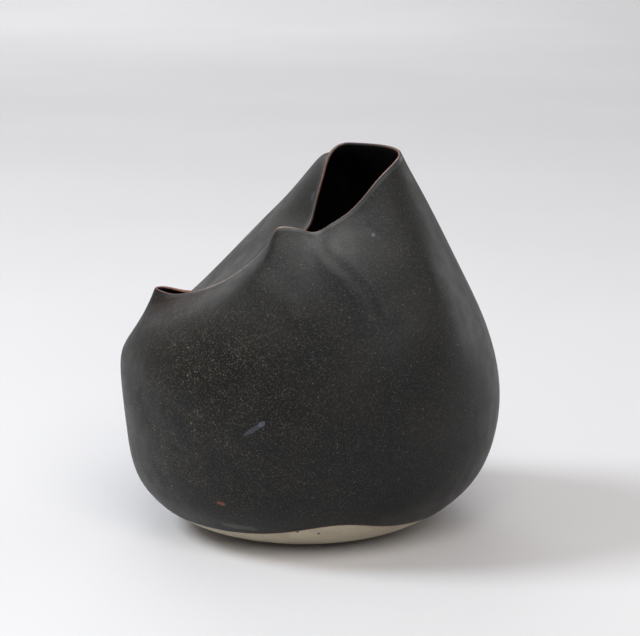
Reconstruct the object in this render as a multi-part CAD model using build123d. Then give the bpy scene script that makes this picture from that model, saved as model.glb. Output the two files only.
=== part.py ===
from build123d import *
import math
import os

import numpy as np

# A folded-mouth pot: a round hand-built stoneware vessel with a satin black glaze.  Its top
# is pinched into a long slit that runs from a small spout on the left (-X), behind a low
# front lip, up into a large leaf-shaped mouth on the right.  The back wall folds forward
# over the slit as a smooth flap.
#
# Frame: millimetres, +Z up, +X right, -Y front.  The origin is the centre of the foot, on
# the surface that the pot stands on.
#
# The outside of the clay is one smooth skin S(azimuth, level).  Azimuth runs 0 = right,
# 90 = back, 180 = left, 270 = front, and past 360 it goes on from 0.  Level 0 is the foot,
# levels 1 to 5 are the round lower body, 6 the shoulder, 7 the crest and 8 the rim.

# Round lower body, one entry per level from 0: radius, height, shift of the centre in X
LOWER_RADIUS = [42.0, 60.0, 78.2, 94.6, 101.8, 104.0]
LOWER_HEIGHT = [0.0, 3.6, 12.8, 30.0, 53.0, 76.0]
LOWER_SHIFT = [0.0, -0.3, -0.4, 1.3, 3.2, 3.0]

# Upper rings, each a closed smooth curve through hand-placed points: azimuth, x, y, z
SHOULDER = [
    (180, -101, 0, 96), (215, -80, -58, 98.5), (250, -34, -88, 108.5), (290, 36, -88, 120.5),
    (330, 83, -49, 126.5), (370, 91, 18, 126.5), (405, 66, 66, 130.5), (440, 14, 84, 130.5),
    (475, -44, 74, 114.5), (505, -84, 42, 100.5),
]
CREST = [
    (183, -89, -5, 117), (200, -83, -33, 116), (235, -47.5, -64, 129), (253, -22.5, -66, 143),
    (268, 3, -65, 152.5), (290, 32, -56, 162), (315, 56.5, -38, 171), (340, 69.4, -10, 172.5),
    (366, 61.7, 22, 176.5), (390, 43, 40, 184), (408, 26, 40, 196), (424, 12, 25, 202.3),
    (434, 5, 22, 196), (455, -10, 17, 178.2), (485, -34, 13.5, 153.2), (508, -52, 7.5, 132.4),
    (520, -64, 5.5, 125), (531, -79, 6, 119.5),
]
# The lip: spout at 183, low front lip to 235, its peak at 259, the large mouth from 271
# round to 424, then the edge of the folded flap back to the spout
RIM = [
    (183, -81.5, -10, 133), (191, -78, -16, 132), (199, -71, -21, 131.5), (208, -63, -24.5, 133),
    (241, -29, -40, 152), (250, -18.5, -42, 164), (254, -15.5, -42, 169.5), (259, -11, -42, 171.5),
    (265, -3.5, -42, 170.5), (271, 4.5, -41, 168.5), (278, 12, -40, 171.5), (290, 22.5, -37.5, 178),
    (318, 40.3, -25, 195.5), (343, 51.5, -7, 206), (366, 41, 13, 208.3), (385, 27.5, 24, 208),
    (402, 20.5, 27, 207.4), (424, 12, 15, 201.3), (434, 9.5, 7.5, 194), (455, 4.5, -9, 176.9),
    (465, 1.5, -19, 168.9), (475, -7, -30, 162), (485, -20.5, -32.5, 153), (504, -45.5, -24, 137.5),
    (522, -64, -10, 131.5), (537, -78, -4, 132.5),
]

WALL_AT_RIM = 1.0
WALL_AT_BODY = 5.0
WALL_TAPER = 60.0           # depth below the rim over which the wall thickens
FLOOR_RADIUS = 44.0
FLOOR_THICKNESS = 6.2
INSIDE_END = 14.0           # the inside wall ends this far up the skin, then meets the floor
GLAZE = 0.4                 # how far every glaze coat stands off the clay
BOND = 0.1                  # hairline left between clay and glaze, so that neither cuts the other
RIM_BAND = 2.0              # depth of the thin brown glaze below the lip
RIM_BAND_STEPS = 4          # rings down each side of it
LIP_TURNS = (0, 45, 90, 135, 180)                       # rings over the rounded lip, degrees

# The wavy line where the outer glaze stops above the bare foot, in levels
GLAZE_LINE = 2.0
GLAZE_LINE_WAVES = [(3, 200, 0.03), (7, 60, 0.02)]      # waves round the pot, phase, height
GLAZE_LINE_RISES = [(278, 45, 0.2), (282, 18, 0.44)]    # azimuth, half width, height

# Soft folds in the front wall, each a ridge or a hollow along a straight line seen from the
# front: x and z of one end, x and z of the other, half width, height
FOLDS = [
    (8, 165, 42, 132, 11, 1.1), (-1, 157, 20, 136, 6, -0.35), (52, 150, 60, 129, 8, -0.4),
    (-7, 140, -4, 128, 4.5, 0.6), (58, 162, 82, 126, 7, 0.7), (-82, 87, -58, 79, 5, -0.5),
    (-93, 98, -80, 70, 6, -0.7), (-30, 150, -12, 138, 7, 0.5),
]
FOLD_FADE = 8.0             # depth below the lip over which the folds begin
FOLD_FRONT = (5, 25)        # they begin this far in front of the middle and are full by there
FOLD_ENDS = 1.1             # how far they reach past their ends, in half lengths

RING_POINTS = 120           # points on each ring curve of the model
RING_ARCS = 4               # arcs that each ring curve is made of
ARC_POINTS = RING_POINTS // RING_ARCS
FIRST_AZIMUTH = 45          # where the rings start, away from the spout and the lip's peak
AZIMUTH_STEP = 360 / RING_POINTS


def cubic_spline(knots, values, period=None):
    """The smooth curve through values at knots: closed over a period, else with free ends."""
    knots = np.asarray(knots, float)
    values = np.asarray(values, float)
    if period:
        knots = np.append(knots, knots[0] + period)
        values = np.vstack([values, values[:1]])
    gap = np.diff(knots)
    slope = np.diff(values, axis=0) / gap[:, None]
    count = len(knots)
    matrix = np.eye(count)
    right = np.zeros_like(values)
    for i in range(1, count - 1):
        matrix[i, i - 1:i + 2] = gap[i - 1], 2 * (gap[i - 1] + gap[i]), gap[i]
        right[i] = 6 * (slope[i] - slope[i - 1])
    if period:
        matrix[0, -1] = -1
        matrix[-1, [0, 1]] = 2 * gap[0], gap[0]
        matrix[-1, [-2, -1]] = gap[-1], 2 * gap[-1]
        right[-1] = 6 * (slope[0] - slope[-1])
    bend = np.linalg.solve(matrix, right)

    def curve(at):
        at = knots[0] + (at - knots[0]) % period if period else at
        i = int(np.clip(np.searchsorted(knots, at, side="right") - 1, 0, count - 2))
        a = (knots[i + 1] - at) / gap[i]
        b = 1 - a
        cubic = (a**3 - a) * bend[i] + (b**3 - b) * bend[i + 1]
        return a * values[i] + b * values[i + 1] + cubic * gap[i] ** 2 / 6

    return curve


def closed_ring(points):
    azimuths = [point[0] for point in points]
    return cubic_spline(azimuths, [point[1:] for point in points], 360)


UPPER_RINGS = [closed_ring(points) for points in (SHOULDER, CREST, RIM)]


def lower_point(level, azimuth):
    turn = math.radians(azimuth)
    radius = LOWER_RADIUS[level]
    x = LOWER_SHIFT[level] + radius * math.cos(turn)
    return np.array([x, radius * math.sin(turn), LOWER_HEIGHT[level]])


class Profile:
    """The skin's curve at one azimuth; reach is the distance along it from the foot."""

    def __init__(self, azimuth):
        points = [lower_point(level, azimuth) for level in range(len(LOWER_RADIUS))]
        points += [ring(azimuth) for ring in UPPER_RINGS]
        steps = np.linalg.norm(np.diff(points, axis=0), axis=1)
        self.lengths = np.concatenate([[0], np.cumsum(steps)])
        self.rim = self.lengths[-1]
        self.at = cubic_spline(self.lengths, points)

    def reach(self, level):
        return np.interp(level, range(len(self.lengths)), self.lengths)


AZIMUTHS = [FIRST_AZIMUTH + i * AZIMUTH_STEP for i in range(RING_POINTS)]
SIDE = 0.25                 # half the azimuth step used to find the skin's direction
UP = 0.15                   # the same along the profile
PROFILES = [[Profile(a + side) for side in (-SIDE, 0, SIDE)] for a in AZIMUTHS]


def unit(vector):
    return vector / np.linalg.norm(vector)


def smooth(value, low, high):
    """0 below low, 1 above high and a smooth step between them."""
    share = min(max((value - low) / (high - low), 0), 1)
    return share * share * (3 - 2 * share)


def fold_height(point, depth):
    """How far the folds lift the skin at a point that is this deep below the lip."""
    x, y, z = point
    height = 0
    for x0, z0, x1, z1, half_width, rise in FOLDS:
        length = math.hypot(x1 - x0, z1 - z0)
        along_x = (x1 - x0) / length
        along_z = (z1 - z0) / length
        share = ((x - x0) * along_x + (z - z0) * along_z) / length
        across = ((z - z0) * along_x - (x - x0) * along_z) / half_width
        ends = (2 * share - 1) / FOLD_ENDS
        height += rise * math.exp(-across**2 - ends**4)
    return height * smooth(-y, *FOLD_FRONT) * smooth(depth, 0, FOLD_FADE)


def skin(index, reach):
    """A point of the skin, its outward normal and its direction towards the rim."""
    before, here, after = PROFILES[index]
    share = reach / here.rim
    low = min(max(reach - UP, 0), here.rim - 2 * UP)
    towards_rim = unit(here.at(low + 2 * UP) - here.at(low))
    around = after.at(share * after.rim) - before.at(share * before.rim)
    normal = unit(np.cross(around, towards_rim))
    point = here.at(reach)
    return point + fold_height(point, here.rim - reach) * normal, normal, towards_rim


def rim_reach(index):
    return PROFILES[index][1].rim


def wall(depth):
    """Wall thickness at a depth below the rim: thin at the lip, full below the taper."""
    share = min(depth / WALL_TAPER, 1)
    return WALL_AT_RIM + (WALL_AT_BODY - WALL_AT_RIM) * share * share * (3 - 2 * share)


def glaze_reach(index):
    """How far up the skin the outer glaze stops, at the azimuth of an index."""
    azimuth = AZIMUTHS[index] % 360
    level = GLAZE_LINE
    for waves, phase, height in GLAZE_LINE_WAVES:
        level += height * math.sin(math.radians(waves * azimuth + phase))
    for centre, half_width, rise in GLAZE_LINE_RISES:
        off = (azimuth - centre + 180) % 360 - 180
        level += rise * math.exp(-((off / half_width) ** 2))
    return PROFILES[index][1].reach(level)


def ring_wire(point_at):
    """A closed smooth wire of equal arcs, through one point per azimuth."""
    points = np.array([point_at(index) for index in range(RING_POINTS)])
    tangents = np.roll(points, -1, axis=0) - np.roll(points, 1, axis=0)
    arcs = []
    for start in range(0, RING_POINTS, ARC_POINTS):
        picks = np.arange(start, start + ARC_POINTS + 1) % RING_POINTS
        through = [Vector(*points[i]) for i in picks]
        ends = [Vector(*tangents[i]) for i in picks[[0, -1]]]
        knots = [float(i) for i in range(ARC_POINTS + 1)]
        arcs.append(Edge.make_spline(through, tangents=ends, parameters=knots))
    return Wire(arcs)


def skin_wire(reach_at, outside, distance=0):
    """A ring on the outer or inner face of the wall, a distance off it into the air."""
    def point_at(index):
        reach = reach_at(index)
        point, normal, _ = skin(index, reach)
        if outside:
            return point + distance * normal
        return point - (wall(rim_reach(index) - reach) + distance) * normal
    return ring_wire(point_at)


def lip_wire(turn, distance):
    """A ring round the rounded lip: turn 0 is the outside, 180 degrees the inside."""
    radius = WALL_AT_RIM / 2
    across = (radius + distance) * math.cos(math.radians(turn)) - radius
    above = (radius + distance) * math.sin(math.radians(turn))

    def point_at(index):
        point, normal, towards_rim = skin(index, rim_reach(index))
        return point + across * normal + above * towards_rim
    return ring_wire(point_at)


def circle_wire(radius, height):
    """A level circle with its points at the same azimuths as every other ring."""
    def point_at(index):
        turn = math.radians(AZIMUTHS[index])
        return radius * math.cos(turn), radius * math.sin(turn), height
    return ring_wire(point_at)


def band(wires):
    return Shell.make_loft(wires).faces()


def strip(wire_a, wire_b):
    return Shell.make_loft([wire_a, wire_b], ruled=True).faces()


def closed_solid(faces):
    return Solid(Shell(faces))


def band_reach(index):
    return rim_reach(index) - RIM_BAND


def between(low, high, share):
    """The reach at a share of the way between two reaches, for any index."""
    return lambda index: low(index) * (1 - share) + high(index) * share


def outside_wires(distance, rings):
    """Rings from the glaze line up to the brown band at the lip."""
    shares = np.linspace(0, 1, rings)
    return [skin_wire(between(glaze_reach, band_reach, s), True, distance) for s in shares]


def foot_wires(top_wire, rings):
    """Rings from the flat foot up to the glaze line."""
    shares = np.linspace(0, 1, rings)[1:-1]
    wires = [skin_wire(between(lambda index: 0, glaze_reach, s), True) for s in shares]
    return [circle_wire(LOWER_RADIUS[0], 0), *wires, top_wire]


def inside_wires(distance, rings):
    """Rings from the brown band down the inside, then the edge of the floor."""
    shares = np.linspace(0, 1, rings)
    down = [between(band_reach, lambda index: INSIDE_END, s) for s in shares]
    wires = [skin_wire(reach_at, False, distance) for reach_at in down]
    return [*wires, circle_wire(FLOOR_RADIUS, FLOOR_THICKNESS + distance)]


def lip_wires(outer_wire, inner_wire, distance):
    """Rings from the band's outer edge over the lip to its inner edge."""
    shares = np.arange(1, RIM_BAND_STEPS) / RIM_BAND_STEPS
    steps = [between(band_reach, rim_reach, s) for s in shares]
    up = [skin_wire(reach_at, True, distance) for reach_at in steps]
    over = [lip_wire(turn, distance) for turn in LIP_TURNS]
    down = [skin_wire(reach_at, False, distance) for reach_at in reversed(steps)]
    return [outer_wire, *up, *over, *down, inner_wire]


# Ring curves from edge to edge of each smooth band of the model
OUTSIDE_RINGS = 31
INSIDE_RINGS = 29
FOOT_RINGS = 6

clay_outside = outside_wires(0, OUTSIDE_RINGS)
clay_inside = inside_wires(0, INSIDE_RINGS)
clay_foot = foot_wires(clay_outside[0], FOOT_RINGS)
clay_lip = lip_wires(clay_outside[-1], clay_inside[0], 0)


class Coat:
    """One face of the glaze, a set distance off the clay: outside, lip and inside."""

    def __init__(self, distance):
        self.outside = outside_wires(distance, OUTSIDE_RINGS)
        self.inside = inside_wires(distance, INSIDE_RINGS)
        self.lip = lip_wires(self.outside[-1], self.inside[0], distance)


bonded = Coat(BOND)
glossy = Coat(GLAZE)
outer_band_edge = strip(bonded.outside[-1], glossy.outside[-1])
inner_band_edge = strip(bonded.inside[0], glossy.inside[0])


def make_stoneware_body():
    """The one fired clay piece: foot, wall, rounded lip, inside and floor."""
    foot = [Face(clay_foot[0]), *band(clay_foot)]
    inside = [*band(clay_inside), Face(clay_inside[-1])]
    return closed_solid([*foot, *band(clay_outside), *band(clay_lip), *inside])


def make_outer_glaze():
    """The black coat on the outside, from the wavy glaze line to the brown lip."""
    line = strip(bonded.outside[0], glossy.outside[0])
    sides = [*band(bonded.outside), *band(glossy.outside)]
    return closed_solid([*sides, *line, *outer_band_edge])


def make_rim_glaze():
    """The thin brown coat over the lip of the spout, the slit and the mouth."""
    sides = [*band(bonded.lip), *band(glossy.lip)]
    return closed_solid([*sides, *outer_band_edge, *inner_band_edge])


def make_liner_glaze():
    """The black coat on the inside wall and floor."""
    walls = [*band(bonded.inside), *band(glossy.inside)]
    floors = [Face(bonded.inside[-1]), Face(glossy.inside[-1])]
    return closed_solid([*walls, *floors, *inner_band_edge])


NODES = {
    "stoneware_body": make_stoneware_body,
    "outer_glaze": make_outer_glaze,
    "rim_glaze": make_rim_glaze,
    "liner_glaze": make_liner_glaze,
}

os.makedirs("parts", exist_ok=True)
for name, make in NODES.items():
    solid = make()
    export_step(solid, f"parts/{name}.step")
    print(name, round(solid.volume), "mm3")
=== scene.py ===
import math

import bpy
import numpy as np
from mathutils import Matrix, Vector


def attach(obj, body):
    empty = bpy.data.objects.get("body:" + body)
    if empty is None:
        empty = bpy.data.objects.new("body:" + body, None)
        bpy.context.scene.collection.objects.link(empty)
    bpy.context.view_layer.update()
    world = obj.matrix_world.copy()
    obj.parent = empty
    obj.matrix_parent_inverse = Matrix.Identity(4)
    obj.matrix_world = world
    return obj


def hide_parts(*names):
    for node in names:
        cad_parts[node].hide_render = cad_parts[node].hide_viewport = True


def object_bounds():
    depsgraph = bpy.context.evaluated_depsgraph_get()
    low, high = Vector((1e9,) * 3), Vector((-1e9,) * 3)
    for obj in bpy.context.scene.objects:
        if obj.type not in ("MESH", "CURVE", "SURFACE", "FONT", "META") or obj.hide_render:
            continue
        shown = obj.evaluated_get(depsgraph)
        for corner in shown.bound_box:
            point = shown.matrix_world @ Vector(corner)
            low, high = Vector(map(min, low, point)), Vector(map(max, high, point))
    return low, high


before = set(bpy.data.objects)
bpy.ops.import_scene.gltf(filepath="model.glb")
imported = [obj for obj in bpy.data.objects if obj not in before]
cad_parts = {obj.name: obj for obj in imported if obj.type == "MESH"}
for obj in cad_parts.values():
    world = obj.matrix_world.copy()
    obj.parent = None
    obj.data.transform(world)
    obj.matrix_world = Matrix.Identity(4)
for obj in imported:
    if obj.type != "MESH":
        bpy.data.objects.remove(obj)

# A folded-mouth stoneware pot in a satin black glaze, on a pale floor.
#
# The pot's skin is the same smooth surface as in the CAD model, from the same numbers: it is
# worked out in millimetres and turned to metres when a mesh is made.  Azimuth runs 0 = right,
# 90 = back, 180 = left, 270 = front; reach is the distance up a profile from the foot and
# depth the distance down from the lip.

MM = 0.001
CAD_LOW, CAD_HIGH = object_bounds()

# ---------------------------------------------------------------- shape, as in the CAD model

LOWER_RADIUS = [42.0, 60.0, 78.2, 94.6, 101.8, 104.0]
LOWER_HEIGHT = [0.0, 3.6, 12.8, 30.0, 53.0, 76.0]
LOWER_SHIFT = [0.0, -0.3, -0.4, 1.3, 3.2, 3.0]
SHOULDER = [
    (180, -101, 0, 96), (215, -80, -58, 98.5), (250, -34, -88, 108.5), (290, 36, -88, 120.5),
    (330, 83, -49, 126.5), (370, 91, 18, 126.5), (405, 66, 66, 130.5), (440, 14, 84, 130.5),
    (475, -44, 74, 114.5), (505, -84, 42, 100.5),
]
CREST = [
    (183, -89, -5, 117), (200, -83, -33, 116), (235, -47.5, -64, 129), (253, -22.5, -66, 143),
    (268, 3, -65, 152.5), (290, 32, -56, 162), (315, 56.5, -38, 171), (340, 69.4, -10, 172.5),
    (366, 61.7, 22, 176.5), (390, 43, 40, 184), (408, 26, 40, 196), (424, 12, 25, 202.3),
    (434, 5, 22, 196), (455, -10, 17, 178.2), (485, -34, 13.5, 153.2), (508, -52, 7.5, 132.4),
    (520, -64, 5.5, 125), (531, -79, 6, 119.5),
]
RIM = [
    (183, -81.5, -10, 133), (191, -78, -16, 132), (199, -71, -21, 131.5), (208, -63, -24.5, 133),
    (241, -29, -40, 152), (250, -18.5, -42, 164), (254, -15.5, -42, 169.5), (259, -11, -42, 171.5),
    (265, -3.5, -42, 170.5), (271, 4.5, -41, 168.5), (278, 12, -40, 171.5), (290, 22.5, -37.5, 178),
    (318, 40.3, -25, 195.5), (343, 51.5, -7, 206), (366, 41, 13, 208.3), (385, 27.5, 24, 208),
    (402, 20.5, 27, 207.4), (424, 12, 15, 201.3), (434, 9.5, 7.5, 194), (455, 4.5, -9, 176.9),
    (465, 1.5, -19, 168.9), (475, -7, -30, 162), (485, -20.5, -32.5, 153), (504, -45.5, -24, 137.5),
    (522, -64, -10, 131.5), (537, -78, -4, 132.5),
]
WALL_AT_RIM = 1.0
WALL_AT_BODY = 5.0
WALL_TAPER = 60.0
FLOOR_RADIUS = 44.0
FLOOR_THICKNESS = 6.2
INSIDE_END = 14.0
GLAZE = 0.4
BOND = 0.1
RIM_BAND = 2.0
GLAZE_LINE = 2.0
GLAZE_LINE_WAVES = [(3, 200, 0.03), (7, 60, 0.02)]
GLAZE_LINE_RISES = [(278, 45, 0.2), (282, 18, 0.44)]
# Soft folds in the front wall, each along a line seen from the front: x and z of one end, x and
# z of the other, half width, height
FOLDS = [
    (8, 165, 42, 132, 11, 1.1), (-1, 157, 20, 136, 6, -0.35), (52, 150, 60, 129, 8, -0.4),
    (-7, 140, -4, 128, 4.5, 0.6), (58, 162, 82, 126, 7, 0.7), (-82, 87, -58, 79, 5, -0.5),
    (-93, 98, -80, 70, 6, -0.7), (-30, 150, -12, 138, 7, 0.5),
]
FOLD_FADE = 8.0             # depth below the lip over which the folds begin
FOLD_FRONT = (5, 25)        # they begin this far in front of the middle and are full by there
FOLD_ENDS = 1.1             # how far they reach past their ends, in half lengths

# ---------------------------------------------------------------- mesh density

AROUND = 560                # points round every ring
OUTSIDE_RINGS = 139         # up the glaze's outer face
INSIDE_RINGS = 90           # down its inner face
HIDDEN_RINGS = 20           # down the liner's face against the clay
BEHIND_RINGS = 12           # down the outer coat's face against the clay
CLAY_RINGS = 40             # in each stretch of the clay
FLOOR_RINGS = 6
FLOOR_MIDDLE = 4.0          # radius of the innermost ring of a flat face
CRISP = 0.04                # rings this close to an edge keep its shading crisp


def bends(knots, values):
    """Second derivatives of natural cubic curves, one curve per row of knots."""
    gap = np.diff(knots, axis=1)
    slope = np.diff(values, axis=1) / gap[..., None]
    count = knots.shape[1]
    matrix = np.zeros((len(knots), count, count))
    matrix[:, 0, 0] = matrix[:, -1, -1] = 1
    right = np.zeros_like(values)
    for i in range(1, count - 1):
        matrix[:, i, i - 1] = gap[:, i - 1]
        matrix[:, i, i] = 2 * (gap[:, i - 1] + gap[:, i])
        matrix[:, i, i + 1] = gap[:, i]
        right[:, i] = 6 * (slope[:, i] - slope[:, i - 1])
    return np.linalg.solve(matrix, right)


def cubic(knots, values, bend, at):
    """Points at `at` on the cubic curves of every row."""
    count = knots.shape[1]
    i = (at[..., None] >= knots[:, None, :]).sum(-1) - 1
    i = np.clip(i, 0, count - 2)
    row = np.arange(len(knots))[:, None]
    gap = knots[row, i + 1] - knots[row, i]
    a = ((knots[row, i + 1] - at) / gap)[..., None]
    b = 1 - a
    bending = (a**3 - a) * bend[row, i] + (b**3 - b) * bend[row, i + 1]
    return a * values[row, i] + b * values[row, i + 1] + bending * gap[..., None] ** 2 / 6


def closed_ring(points, azimuths):
    """The closed smooth curve through (azimuth, x, y, z) points, at the given azimuths."""
    table = np.array(points, float)
    knots, values = table[:, 0], table[:, 1:]
    count = len(knots)
    gap = np.diff(np.append(knots, knots[0] + 360))
    slope = (np.roll(values, -1, axis=0) - values) / gap[:, None]
    matrix = np.zeros((count, count))
    for i in range(count):
        matrix[i, i - 1] += gap[i - 1]
        matrix[i, i] += 2 * (gap[i - 1] + gap[i])
        matrix[i, (i + 1) % count] += gap[i]
    bend = np.linalg.solve(matrix, 6 * (slope - np.roll(slope, 1, axis=0)))
    around = np.append(knots, knots[0] + 360)[None]
    at = knots[0] + (azimuths - knots[0]) % 360
    loop = np.vstack([values, values[:1]])[None]
    return cubic(around, loop, np.vstack([bend, bend[:1]])[None], at[None])[0]


class Profiles:
    """The skin's curves at a set of azimuths."""

    def __init__(self, azimuths):
        turn = np.radians(azimuths)
        rings = [
            np.stack([c + r * np.cos(turn), r * np.sin(turn), np.full_like(turn, z)], -1)
            for r, z, c in zip(LOWER_RADIUS, LOWER_HEIGHT, LOWER_SHIFT)
        ]
        rings += [closed_ring(points, azimuths) for points in (SHOULDER, CREST, RIM)]
        self.values = np.stack(rings, axis=1)
        steps = np.linalg.norm(np.diff(self.values, axis=1), axis=2)
        self.knots = np.hstack([np.zeros((len(turn), 1)), np.cumsum(steps, axis=1)])
        self.bend = bends(self.knots, self.values)
        self.rim = self.knots[:, -1:]

    def at(self, reach):
        return cubic(self.knots, self.values, self.bend, reach)


def unit(vectors):
    return vectors / np.linalg.norm(vectors, axis=-1, keepdims=True)


AZIMUTHS = np.arange(AROUND) * 360 / AROUND
SIDE = 0.25                 # degrees to each side, for the skin's direction around the pot
UP = 0.15                   # millimetres up and down, for its direction towards the rim
BEFORE, HERE, AFTER = (Profiles(AZIMUTHS + side) for side in (-SIDE, 0, SIDE))
RIM_REACH = HERE.rim


def smooth(value, low, high):
    share = np.clip((value - low) / (high - low), 0, 1)
    return share * share * (3 - 2 * share)


def folds(point, depth):
    """Height of the soft folds at points of the skin."""
    x, y, z = point[..., 0], point[..., 1], point[..., 2]
    height = 0
    for x0, z0, x1, z1, half_width, rise in FOLDS:
        length = math.hypot(x1 - x0, z1 - z0)
        ux, uz = (x1 - x0) / length, (z1 - z0) / length
        along = ((x - x0) * ux + (z - z0) * uz) / length
        across = ((z - z0) * ux - (x - x0) * uz) / half_width
        height = height + rise * np.exp(-across**2 - ((2 * along - 1) / FOLD_ENDS) ** 4)
    return height * smooth(-y, *FOLD_FRONT) * smooth(depth, 0, FOLD_FADE)


# Unevenness left by the hands: many low waves in all directions
RANDOM = np.random.default_rng(7)
WAVE_COUNT = 40
WAVE_SLOPE = 0.0028         # height of a wave as a share of its length, if it were alone
WAVE_LENGTHS = RANDOM.uniform(14, 60, WAVE_COUNT)
WAVE_VECTORS = unit(RANDOM.normal(size=(WAVE_COUNT, 3))) * 2 * math.pi / WAVE_LENGTHS[:, None]
WAVE_PHASES = RANDOM.uniform(0, 2 * math.pi, WAVE_COUNT)
WAVE_SHARES = RANDOM.uniform(0.4, 1, WAVE_COUNT)
WAVE_HEIGHTS = WAVE_SLOPE * WAVE_LENGTHS * WAVE_SHARES / math.sqrt(WAVE_COUNT)
# The sum of the waves is lowered by three times its root mean square, and cut off at the skin
UNEVEN = 3 * math.sqrt(float((WAVE_HEIGHTS**2).sum()) / 2)
MARKS_BELOW_LIP = (0.5, 7)  # depths where hand marks begin and are full
MARKS_ABOVE_FOOT = (12, 24)  # heights where they begin and are full
# Narrow marks on the right of the front: half width, height, line through x, z
MARKS = [
    (1.8, -0.28, [(34, 172), (41, 167), (47, 161.5), (57, 155.5), (63, 147), (66, 140)]),
    (3.2, 0.45, [(2, 167), (11, 156), (22, 147.5), (30, 139)]),
    (3.4, 0.42, [(14, 162), (25, 154.5), (34, 146.5), (39, 138), (44, 130)]),
    (2.8, -0.40, [(10, 160), (20, 152), (29, 144), (36, 134)]),
]
MARKS_FRONT = -20           # they lie in front of this y


def hand_marks(point, depth):
    """Height of the unevenness, which stays below the smooth skin, and of the marks on it."""
    x, y, z = point[..., 0], point[..., 1], point[..., 2]
    height = np.zeros_like(x)
    for vector, phase, rise in zip(WAVE_VECTORS, WAVE_PHASES, WAVE_HEIGHTS):
        height += rise * np.sin(point @ vector + phase)
    height = np.minimum(height - UNEVEN, 0)
    for half_width, rise, line in MARKS:
        nearest = np.full_like(x, 1e9)
        for (x0, z0), (x1, z1) in zip(line[:-1], line[1:]):
            span = np.array([x1 - x0, z1 - z0])
            share = np.clip(((x - x0) * span[0] + (z - z0) * span[1]) / (span @ span), 0, 1)
            gap = np.hypot(x - x0 - share * span[0], z - z0 - share * span[1])
            nearest = np.minimum(nearest, gap)
        height += rise * np.exp(-((nearest / half_width) ** 2)) * (y < MARKS_FRONT)
    return height * smooth(depth, *MARKS_BELOW_LIP) * smooth(z, *MARKS_ABOVE_FOOT)


def skin(reach):
    """Points, outward normals and directions towards the rim; reach is one row per azimuth."""
    share = reach / HERE.rim
    low = np.clip(reach - UP, 0, HERE.rim - 2 * UP)
    towards_rim = unit(HERE.at(low + 2 * UP) - HERE.at(low))
    around = AFTER.at(share * AFTER.rim) - BEFORE.at(share * BEFORE.rim)
    point = HERE.at(reach)
    normal = unit(np.cross(around, towards_rim))
    depth = HERE.rim - reach
    relief = folds(point, depth) + hand_marks(point, depth)
    return point + relief[..., None] * normal, normal, towards_rim


def wall(depth):
    share = np.minimum(depth / WALL_TAPER, 1)
    return WALL_AT_RIM + (WALL_AT_BODY - WALL_AT_RIM) * share * share * (3 - 2 * share)


def glaze_line():
    """Reach of the wavy line where the outer glaze stops."""
    level = np.full(AROUND, GLAZE_LINE)
    for waves, phase, height in GLAZE_LINE_WAVES:
        level += height * np.sin(np.radians(waves * AZIMUTHS + phase))
    for centre, half_width, rise in GLAZE_LINE_RISES:
        off = (AZIMUTHS - centre + 180) % 360 - 180
        level += rise * np.exp(-((off / half_width) ** 2))
    levels = np.arange(HERE.knots.shape[1])
    return np.array([np.interp(l, levels, k) for l, k in zip(level, HERE.knots)])[:, None]


# ---------------------------------------------------------------- rings and closed meshes

def on_outside(reach, distance):
    """Rings on the outer face of the wall, a distance off it; columns are rings."""
    point, normal, _ = skin(reach)
    return point + np.asarray(distance)[..., None] * normal


def on_inside(reach, distance):
    point, normal, _ = skin(reach)
    return point - (wall(RIM_REACH - reach) + distance)[..., None] * normal


def over_lip(turns, distance):
    """Rings round the lip's rounded edge, from the outside at 0 to the inside at 180."""
    point, normal, towards_rim = skin(RIM_REACH)
    radius = WALL_AT_RIM / 2
    turn = np.radians(turns)[None, :, None]
    across = (radius + distance) * np.cos(turn) - radius
    above = (radius + distance) * np.sin(turn)
    return point + across * normal + above * towards_rim


def flat_rings(radii, height):
    turn = np.radians(AZIMUTHS)[:, None]
    radii = np.asarray(radii, float)[None]
    x, y = radii * np.cos(turn), radii * np.sin(turn)
    return np.stack([x, y, np.full_like(x, height)], -1)


def steps(low, high, count):
    """Evenly spaced reaches between two, without the first one."""
    return low + (high - low) * np.arange(1, count + 1) / count


def new_object(name, points, faces):
    mesh = bpy.data.meshes.new(name)
    mesh.from_pydata((points * MM).tolist(), [], faces)
    mesh.update()
    mesh.polygons.foreach_set("use_smooth", [True] * len(mesh.polygons))
    piece = bpy.data.objects.new(name, mesh)
    bpy.context.scene.collection.objects.link(piece)
    return piece


def ring_mesh(name, rings, poles):
    """A closed mesh of rings (azimuth, ring, xyz): pole to pole, or joined end to start."""
    count = rings.shape[1]
    points = rings.transpose(1, 0, 2).reshape(-1, 3)
    nxt = np.roll(np.arange(AROUND), -1)
    here = np.arange(AROUND)
    faces = []
    last = count - 1 if poles else count
    for k in range(last):
        a, b = k * AROUND, (k + 1) % count * AROUND
        faces += np.stack([a + here, a + nxt, b + nxt, b + here], -1).tolist()
    if poles:
        first, end = len(points), len(points) + 1
        points = np.vstack([points, rings[:, 0].mean(0), rings[:, -1].mean(0)])
        top = (count - 1) * AROUND
        faces += np.stack([np.full(AROUND, first), nxt, here], -1).tolist()
        faces += np.stack([np.full(AROUND, end), top + here, top + nxt], -1).tolist()
    return new_object(name, points, faces)


def paint(piece, name, values):
    """A number per vertex for the materials: rings first, then the poles."""
    flat = np.asarray(values, float).T.reshape(-1)
    flat = np.append(flat, np.full(len(piece.data.vertices) - len(flat), flat[-1]))
    layer = piece.data.attributes.new(name, "FLOAT", "POINT")
    layer.data.foreach_set("value", flat)


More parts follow.
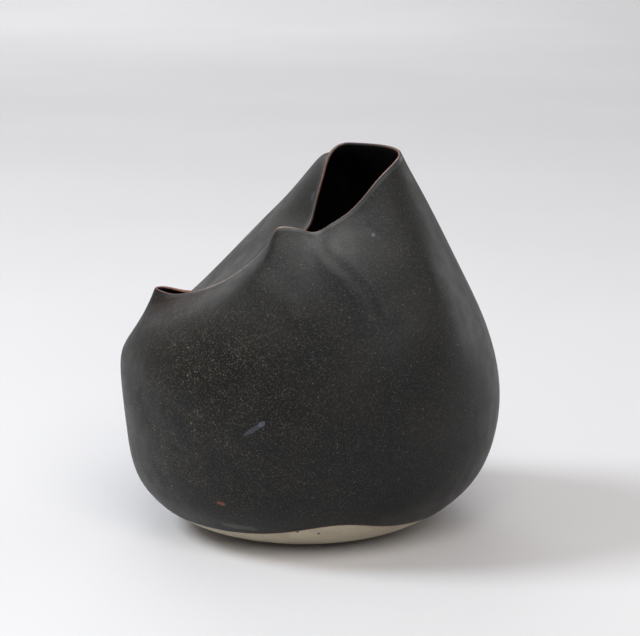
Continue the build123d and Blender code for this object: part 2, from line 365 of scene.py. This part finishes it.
LINE = glaze_line()
BAND = RIM_REACH - RIM_BAND
LIP_TURNS = np.linspace(0, 180, 15)
CLAY_LIP_TURNS = np.linspace(0, 180, 7)
ROLL_TURNS = np.linspace(-80, 80, 7)    # round the outer coat's rolled lower edge
ROLL_RISE = 0.9             # how far the roll climbs, as a share of the glaze's thickness
UNDER_GLAZE = 2.0           # how far the finely divided clay goes on under the outer glaze
FAR_BELOW = 99.0            # stands for clay that is nowhere near the glaze line


def make_outer_coat():
    roll = np.radians(ROLL_TURNS)[None]
    roll_reach = LINE + GLAZE * (1 - np.cos(roll)) * ROLL_RISE
    roll_rings = on_outside(roll_reach, BOND + (GLAZE - BOND) * (1 + np.sin(roll)) / 2)
    start = roll_reach[:, -1:]
    up = steps(start, BAND - CRISP, OUTSIDE_RINGS)
    behind = steps(BAND - CRISP, LINE + GLAZE, BEHIND_RINGS)[:, :-1]
    top_reach = np.hstack([BAND] * 4 + [BAND - CRISP])
    top = on_outside(top_reach, np.array([GLAZE, GLAZE - CRISP, BOND + CRISP, BOND, BOND]))
    rings = np.concatenate([roll_rings, on_outside(up, GLAZE), top, on_outside(behind, BOND)], axis=1)
    piece = ring_mesh("black_glaze_coat", rings, poles=False)
    reach = np.hstack([roll_reach, up, top_reach, behind])
    paint(piece, "above_line", reach - LINE)
    paint_outer(piece, RIM_REACH - reach, rings[..., 2])
    return piece


def make_lip_coat():
    up = np.hstack([BAND, BAND + CRISP, steps(BAND + CRISP, RIM_REACH, 4)[:, :-1]])
    parts = []
    for distance in (GLAZE, BOND):
        face = [on_outside(up, distance), over_lip(LIP_TURNS, distance)]
        face.append(on_inside(up[:, ::-1], distance))
        parts.append(np.concatenate(face, axis=1))
    edge = np.array([GLAZE - CRISP, BOND + CRISP])
    edge_reach = np.hstack([BAND, BAND])
    inner_edge = on_inside(edge_reach, edge)
    outer_edge = on_outside(edge_reach, edge[::-1])
    rings = np.concatenate([parts[0], inner_edge, parts[1][:, ::-1], outer_edge], axis=1)
    piece = ring_mesh("lip_glaze_band", rings, poles=False)
    drop = RIM_REACH - up
    ends = RIM_REACH - edge_reach
    arc = np.repeat(-np.sin(np.radians(LIP_TURNS))[None] * WALL_AT_RIM / 2, AROUND, axis=0)
    face = np.hstack([drop, arc, drop[:, ::-1]])
    depth = np.hstack([face, ends, face[:, ::-1], ends])
    # The brown reaches lower on the front lip than round the mouth
    front = 0.32 * bearing(AZIMUTHS[:, None], 248, 42) + 0.25 * bearing(AZIMUTHS[:, None], 220, 20)
    paint(piece, "depth", depth - front)
    paint_lip(piece, depth)
    return piece


def make_liner():
    floor = np.linspace(FLOOR_RADIUS, FLOOR_MIDDLE, FLOOR_RINGS)
    parts = []
    for distance, count in ((GLAZE, INSIDE_RINGS), (BOND, HIDDEN_RINGS)):
        down = steps(BAND - CRISP, np.full_like(BAND, INSIDE_END), count)
        face = [on_inside(np.hstack([BAND, BAND - CRISP, down]), distance)]
        face.append(flat_rings(floor, FLOOR_THICKNESS + distance))
        parts.append(np.concatenate(face, axis=1))
    edge = on_inside(np.hstack([BAND, BAND]), np.array([GLAZE - CRISP, BOND + CRISP]))
    rings = np.concatenate([parts[1][:, ::-1], edge[:, ::-1], parts[0]], axis=1)
    return ring_mesh("liner_glaze_coat", rings, poles=True)


def make_clay():
    foot = flat_rings(np.linspace(FLOOR_MIDDLE, LOWER_RADIUS[0], FLOOR_RINGS), 0)
    covered = LINE + UNDER_GLAZE
    bare_reach = steps(np.zeros_like(LINE), covered, CLAY_RINGS)
    covered_reach = steps(covered, RIM_REACH, CLAY_RINGS)[:, :-1]
    lip = over_lip(CLAY_LIP_TURNS, 0)
    down = on_inside(steps(RIM_REACH, np.full_like(LINE, INSIDE_END), CLAY_RINGS), 0)
    floor = flat_rings(np.linspace(FLOOR_RADIUS, FLOOR_MIDDLE, FLOOR_RINGS), FLOOR_THICKNESS)
    outside = on_outside(np.hstack([bare_reach, covered_reach]), 0)
    rings = np.concatenate([foot, outside, lip, down, floor], axis=1)
    piece = ring_mesh("clay_body", rings, poles=True)
    below = np.full(rings.shape[:2], FAR_BELOW)
    below[:, :FLOOR_RINGS] = LINE
    below[:, FLOOR_RINGS:FLOOR_RINGS + CLAY_RINGS] = LINE - bare_reach
    paint(piece, "below_line", below)
    return piece


# ---------------------------------------------------------------- materials

class Tree:
    """Short names for building a material's nodes; lengths are in metres."""

    def __init__(self, name):
        self.material = bpy.data.materials.new(name)
        self.material.use_nodes = True
        self.nodes = self.material.node_tree.nodes
        self.links = self.material.node_tree.links
        self.shader = self.nodes["Principled BSDF"]
        self.place = self.nodes.new("ShaderNodeTexCoord").outputs["Object"]

    def set(self, socket, value):
        if isinstance(value, bpy.types.NodeSocket):
            self.links.new(value, socket)
        elif isinstance(value, tuple) and len(value) == 3 and len(socket.default_value) == 4:
            socket.default_value = (*value, 1)
        else:
            socket.default_value = value

    def math(self, operation, a, b=0.0, clamp=False):
        node = self.nodes.new("ShaderNodeMath")
        node.operation = operation
        node.use_clamp = clamp
        self.set(node.inputs[0], a)
        self.set(node.inputs[1], b)
        return node.outputs[0]

    def noise(self, size, detail=2.0, place=None):
        """Noise from 0 to 1 whose bumps are about `size` across."""
        node = self.nodes.new("ShaderNodeTexNoise")
        node.inputs["Scale"].default_value = 1 / size
        node.inputs["Detail"].default_value = detail
        self.set(node.inputs["Vector"], place or self.place)
        return node.outputs["Fac"]

    def specks(self, size, share, radius):
        """Round specks in a share of cells of this size; the radius is a share of the cell."""
        node = self.nodes.new("ShaderNodeTexVoronoi")
        node.inputs["Scale"].default_value = 1 / size
        self.set(node.inputs["Vector"], self.place)
        split = self.nodes.new("ShaderNodeSeparateColor")
        self.links.new(node.outputs["Color"], split.inputs["Color"])
        chosen = self.math("LESS_THAN", split.outputs[0], share)
        reach = self.math("MULTIPLY_ADD", split.outputs[1], radius)
        reach.node.inputs[2].default_value = radius * 0.35
        edge = self.ramp(self.math("DIVIDE", node.outputs["Distance"], reach), 1.0, 0.55)
        return self.math("MULTIPLY", edge, chosen)

    def ramp(self, value, low, high, start=0.0, end=1.0):
        node = self.nodes.new("ShaderNodeMapRange")
        node.interpolation_type = "SMOOTHSTEP"
        for name, number in zip(("From Min", "From Max", "To Min", "To Max"), (low, high, start, end)):
            node.inputs[name].default_value = number
        self.set(node.inputs["Value"], value)
        return node.outputs["Result"]

    def mix(self, share, a, b):
        node = self.nodes.new("ShaderNodeMix")
        node.data_type = "RGBA"
        self.set(node.inputs["Factor"], share)
        self.set(node.inputs[6], a)
        self.set(node.inputs[7], b)
        return node.outputs[2]

    def painted(self, name):
        node = self.nodes.new("ShaderNodeAttribute")
        node.attribute_name = name
        return node.outputs["Fac"]

    def blob(self, centre, radii, turn=(0, 0, 0), rough=0.3, grain=0.0015):
        """1 inside a rough-edged ellipsoid and 0 outside; centre and radii in millimetres."""
        node = self.nodes.new("ShaderNodeMapping")
        node.vector_type = "TEXTURE"
        node.inputs["Location"].default_value = [c * MM for c in centre]
        node.inputs["Rotation"].default_value = [math.radians(t) for t in turn]
        node.inputs["Scale"].default_value = [r * MM for r in radii]
        self.set(node.inputs["Vector"], self.place)
        size = self.nodes.new("ShaderNodeVectorMath")
        size.operation = "LENGTH"
        self.links.new(node.outputs["Vector"], size.inputs[0])
        ragged = self.math("MULTIPLY_ADD", self.noise(grain, 3), rough * 2)
        self.set(ragged.node.inputs[2], size.outputs["Value"])
        return self.ramp(ragged, 1 + rough * 1.3, 1 + rough * 0.5)

    def bump(self, height, distance, strength=1.0, below=None):
        node = self.nodes.new("ShaderNodeBump")
        node.inputs["Distance"].default_value = distance
        node.inputs["Strength"].default_value = strength
        self.set(node.inputs["Height"], height)
        if below:
            self.links.new(below, node.inputs["Normal"])
        return node.outputs["Normal"]

    def finish(self, colour, roughness, normal, **plain):
        self.set(self.shader.inputs["Base Color"], colour)
        self.set(self.shader.inputs["Roughness"], roughness)
        self.links.new(normal, self.shader.inputs["Normal"])
        for name, value in plain.items():
            self.shader.inputs[name.replace("_", " ")].default_value = value
        return self.material


BLACK = (0.0048, 0.0049, 0.0054)
GLAZE_IOR = 1.5
GLAZE_SHINE = 0.225


def black_glaze():
    t = Tree("satin_black_glaze")
    cloud = t.noise(0.030, 3)
    colour = t.mix(t.ramp(cloud, 0.35, 0.75), BLACK, (0.0080, 0.0077, 0.0070))
    olive = t.math("MULTIPLY", t.painted("olive"), t.ramp(t.noise(0.012, 2), 0.25, 0.7), clamp=True)
    colour = t.mix(t.math("MULTIPLY", olive, 0.30), colour, (0.0140, 0.0115, 0.0070))
    stain = t.math("MULTIPLY", t.painted("stain"), t.ramp(t.noise(0.004, 4), 0.3, 0.7), clamp=True)
    colour = t.mix(stain, colour, (0.040, 0.014, 0.008))

    grain = t.ramp(t.noise(0.0007, 2), 0.53, 0.68)
    strong = t.math("MULTIPLY_ADD", olive, 0.35)
    strong.node.inputs[2].default_value = 0.26
    colour = t.mix(t.math("MULTIPLY", grain, strong), colour, (0.078, 0.074, 0.064))
    fine = t.specks(0.0010, 0.75, 0.36)
    colour = t.mix(t.math("MULTIPLY", fine, strong), colour, (0.090, 0.086, 0.075))
    small = t.specks(0.0021, 0.15, 0.20)
    colour = t.mix(t.math("MULTIPLY", small, 0.5), colour, (0.10, 0.095, 0.080))
    gold = t.math("MULTIPLY", t.specks(0.0019, 0.5, 0.24), t.ramp(olive, 0.15, 0.8))
    colour = t.mix(t.math("MULTIPLY", gold, 0.8), colour, (0.15, 0.118, 0.055))
    rusty = t.math("MULTIPLY", t.specks(0.0047, 0.06, 0.16), t.ramp(olive, 0.0, 0.5, 0.15))
    colour = t.mix(t.math("MULTIPLY", rusty, 0.8), colour, (0.14, 0.050, 0.020))

    dab = t.blob((-26.0, -100.0, 76.8), (6.2, 6.0, 1.25), (0, -34, 0), 0.42, 0.0020)
    head = t.blob((-21.8, -101.0, 79.9), (2.1, 5.0, 1.35), (0, -34, 0), 0.25, 0.0015)
    colour = t.mix(t.math("MULTIPLY", dab, 0.55), colour, (0.055, 0.062, 0.080))
    colour = t.mix(t.math("MULTIPLY", head, 0.38), colour, (0.105, 0.120, 0.150))
    red = t.blob((-43.3, -86.0, 33.6), (2.6, 5.0, 1.1), (0, 8, 0), 0.4, 0.0012)
    colour = t.mix(t.math("MULTIPLY", red, 0.85), colour, (0.150, 0.050, 0.035))
    pale = t.blob((35.9, -48.3, 168.8), (1.1, 3.0, 1.0), (0, 0, 0), 0.4, 0.0010)
    colour = t.mix(t.math("MULTIPLY", pale, 0.5), colour, (0.095, 0.105, 0.135))
    smear = t.blob((4.2, -1.3, 181.8), (1.1, 4.0, 3.8), (0, 12, 0), 0.4, 0.0018)
    colour = t.mix(t.math("MULTIPLY", smear, 0.35), colour, (0.060, 0.064, 0.085))
    thick = t.blob((-35.0, -79.0, 18.8), (13.0, 8.0, 1.9), (0, 3, 0), 0.5, 0.0035)
    colour = t.mix(t.math("MULTIPLY", thick, 0.75), colour, (0.055, 0.057, 0.050))
    edge = t.ramp(t.painted("above_line"), 0.42, 0.12)
    colour = t.mix(t.math("MULTIPLY", edge, 0.9), colour, (0.120, 0.050, 0.020))

    rough = t.ramp(t.noise(0.009, 4), 0.2, 0.8, 0.40, 0.52)
    rough = t.math("ADD", rough, t.math("MULTIPLY", fine, 0.12))
    skin_bump = t.bump(t.noise(0.0022, 3), 0.00010, 0.6)
    marks = t.math("ADD", t.math("MULTIPLY", dab, 1.0), t.math("MULTIPLY", fine, 0.18))
    normal = t.bump(marks, 0.00018, 0.8, skin_bump)
    return t.finish(colour, rough, normal, IOR=GLAZE_IOR, Specular_IOR_Level=GLAZE_SHINE)


def lip_glaze():
    t = Tree("broken_rust_lip")
    colour = t.mix(t.ramp(t.noise(0.006, 4), 0.3, 0.7), (0.125, 0.046, 0.026), (0.215, 0.110, 0.075))
    colour = t.mix(t.painted("pale"), colour, (0.52, 0.36, 0.28))
    colour = t.mix(t.math("MULTIPLY", t.painted("stain"), 0.8), colour, (0.085, 0.022, 0.010))
    depth = t.math("ADD", t.painted("depth"), t.ramp(t.noise(0.0025, 3), 0.2, 0.8, -0.10, 0.10))
    thin = t.math("MULTIPLY", t.ramp(depth, -0.20, -0.44), t.painted("bare"))
    colour = t.mix(thin, BLACK, colour)
    rough = t.ramp(t.noise(0.002, 3), 0.2, 0.8, 0.38, 0.55)
    return t.finish(colour, rough, t.bump(t.noise(0.0016, 3), 0.00008, 0.6), IOR=GLAZE_IOR)


def liner_glaze():
    t = Tree("black_liner_glaze")
    cloud = t.ramp(t.noise(0.010, 4), 0.3, 0.7)
    colour = t.mix(cloud, (0.0028, 0.0028, 0.0030), (0.0050, 0.0046, 0.0042))
    colour = t.mix(t.math("MULTIPLY", t.specks(0.0016, 0.3, 0.3), 0.3), colour, (0.03, 0.028, 0.024))
    rough = t.ramp(t.noise(0.006, 4), 0.2, 0.8, 0.32, 0.48)
    return t.finish(colour, rough, t.bump(t.noise(0.0030, 3), 0.00010, 0.6), IOR=GLAZE_IOR)


def bare_clay():
    t = Tree("bare_stoneware")
    colour = t.mix(t.ramp(t.noise(0.012, 4), 0.3, 0.7), (0.385, 0.335, 0.250), (0.455, 0.405, 0.315))
    grain = t.noise(0.0007, 3)
    colour = t.mix(t.ramp(grain, 0.45, 0.75, 0.0, 0.45), colour, (0.270, 0.225, 0.155))
    iron = t.specks(0.0036, 0.10, 0.13)
    colour = t.mix(t.math("MULTIPLY", iron, 0.8), colour, (0.075, 0.045, 0.025))
    # Two small pits in the bare clay, dented by a bump; their near-black colour is painted shade
    # inside the pits
    pit = t.blob((-3.7, -84.4, 17.9), (0.75, 4.0, 0.6), (0, 0, 0), 0.3, 0.0008)
    other = t.blob((7.3, -82.5, 16.4), (0.75, 4.0, 0.65), (0, 0, 0), 0.3, 0.0008)
    pits = t.math("MAXIMUM", pit, other)
    colour = t.mix(t.math("MULTIPLY", pits, 0.9), colour, (0.030, 0.020, 0.012))
    below = t.math("ADD", t.painted("below_line"), t.ramp(t.noise(0.003, 3), 0.2, 0.8, -0.35, 0.35))
    colour = t.mix(t.ramp(below, 1.5, 0.2, 0.0, 0.9), colour, (0.290, 0.120, 0.038))
    normal = t.bump(grain, 0.00012, 0.8, t.bump(t.math("MULTIPLY", pits, -1.0), 0.0004, 1.0))
    return t.finish(colour, t.ramp(grain, 0.2, 0.8, 0.72, 0.88), normal)


def floor_paper():
    t = Tree("floor_paper")
    colour = t.mix(t.ramp(t.noise(0.5, 2), 0.3, 0.7), (0.620, 0.617, 0.636), (0.640, 0.637, 0.652))
    return t.finish(colour, 0.95, t.bump(t.noise(0.0012, 2), 0.00004, 0.5))


def bearing(azimuth, centre, half_width):
    off = (azimuth - centre + 180) % 360 - 180
    return np.exp(-((off / half_width) ** 2))


def paint_outer(piece, depth, height):
    """Where the glaze is olive, and where it is stained red-brown below the spout."""
    azimuth = AZIMUTHS[:, None]
    olive = bearing(azimuth, 228, 34) * smooth(height, 14, 40) * smooth(-height, -150, -118)
    paint(piece, "olive", olive)
    fade = np.exp(-np.maximum(depth, 0) / 9.0)
    paint(piece, "stain", 0.75 * fade * bearing(azimuth, 205, 26))


def paint_lip(piece, depth):
    azimuth = AZIMUTHS[:, None] + np.zeros_like(depth)
    paint(piece, "pale", 0.9 * bearing(azimuth, 238, 26))
    bare = 1 - 0.92 * bearing(azimuth, 24, 40) - 0.7 * bearing(azimuth, 98, 22)
    paint(piece, "bare", np.clip(bare, 0, 1))
    paint(piece, "stain", bearing(azimuth, 190, 16))


def finish_piece(piece, node, material):
    piece.data.materials.append(material)
    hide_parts(node)
    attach(piece, "root")


# ---------------------------------------------------------------- set

CENTRE = [(low + high) / 2 for low, high in zip(CAD_LOW, CAD_HIGH)]
CAMERA_AIM = (0.008, 0.0, 0.1145)
CAMERA_PITCH = math.radians(11.5)
CAMERA_DISTANCE = 1.2
CAMERA_LENS = 122.7
CAMERA_SENSOR = 36.0


def make_camera():
    data = bpy.data.cameras.new("camera")
    data.lens = CAMERA_LENS
    data.sensor_width = CAMERA_SENSOR
    data.clip_end = 100
    camera = bpy.data.objects.new("camera", data)
    back = (0, -math.cos(CAMERA_PITCH), math.sin(CAMERA_PITCH))
    camera.location = [a + CAMERA_DISTANCE * b for a, b in zip(CAMERA_AIM, back)]
    camera.rotation_euler = (math.pi / 2 - CAMERA_PITCH, 0, 0)
    bpy.context.scene.collection.objects.link(camera)
    bpy.context.scene.camera = camera


def make_sweep():
    """A pale sheet that lies on the floor and curves up into a wall behind."""
    bend = np.radians(np.linspace(0, 90, 25))
    profile = [(-5.0, 0.0), (-2.5, 0.0), (-1.0, 0.0), (0.0, 0.0), (1.0, 0.0), (2.5, 0.0)]
    profile += [(4.0 + 1.5 * math.sin(a), 1.5 - 1.5 * math.cos(a)) for a in bend]
    profile += [(5.5, 3.0), (5.5, 5.0)]
    columns = np.linspace(-5, 5, 21)
    points = [(x, y, z) for y, z in profile for x in columns]
    wide = len(columns)
    faces = [
        (r * wide + c, r * wide + c + 1, (r + 1) * wide + c + 1, (r + 1) * wide + c)
        for r in range(len(profile) - 1) for c in range(wide - 1)
    ]
    mesh = bpy.data.meshes.new("sweep")
    mesh.from_pydata(points, [], faces)
    mesh.polygons.foreach_set("use_smooth", [True] * len(mesh.polygons))
    sweep = bpy.data.objects.new("sweep", mesh)
    bpy.context.scene.collection.objects.link(sweep)
    mesh.materials.append(floor_paper())


def area_light(name, place, size, power, colour):
    data = bpy.data.lights.new(name, "AREA")
    data.shape = "DISK"
    data.size = size
    data.energy = power
    data.color = colour
    light = bpy.data.objects.new(name, data)
    light.location = place
    aim = np.array(CENTRE) - np.array(place)
    across = math.hypot(aim[0], aim[1])
    light.rotation_euler = (math.atan2(across, -aim[2]), 0, math.atan2(aim[1], aim[0]) - math.pi / 2)
    bpy.context.scene.collection.objects.link(light)
    return light


WORLD_STRENGTH = 0.40


def make_world():
    world = bpy.data.worlds.new("studio")
    bpy.context.scene.world = world
    world.use_nodes = True
    background = world.node_tree.nodes["Background"]
    background.inputs["Color"].default_value = (1, 0.975, 0.95, 1)
    background.inputs["Strength"].default_value = WORLD_STRENGTH


make_camera()
make_sweep()
make_world()
for lamp in (
    area_light("key", (-1.75, -0.1, 1.75), 1.0, 46, (0.90, 0.955, 1)),
    area_light("fill", (0.5, -2.6, 2.6), 3.0, 90, (1, 0.955, 0.91)),
    area_light("wash", (-0.8, 4.6, 2.6), 3.4, 92, (0.98, 0.99, 1)),
):
    lamp.visible_glossy = False
for card in (
    area_light("left_card", (-1.75, 3.2, 1.35), 1.7, 9.5, (1, 1, 1)),
    area_light("right_card", (2.4, 1.6, 0.75), 1.8, 16, (1, 1, 1)),
    area_light("front_card", (1.7, -1.5, 1.9), 2.0, 24, (1, 1, 1)),
    area_light("top_card", (-0.15, 0.45, 2.25), 2.1, 50, (1, 1, 1)),
):
    card.visible_diffuse = False
bpy.context.scene.view_settings.view_transform = "Standard"

outer = make_outer_coat()
finish_piece(outer, "outer_glaze", black_glaze())
finish_piece(make_lip_coat(), "rim_glaze", lip_glaze())
finish_piece(make_liner(), "liner_glaze", liner_glaze())
finish_piece(make_clay(), "stoneware_body", bare_clay())
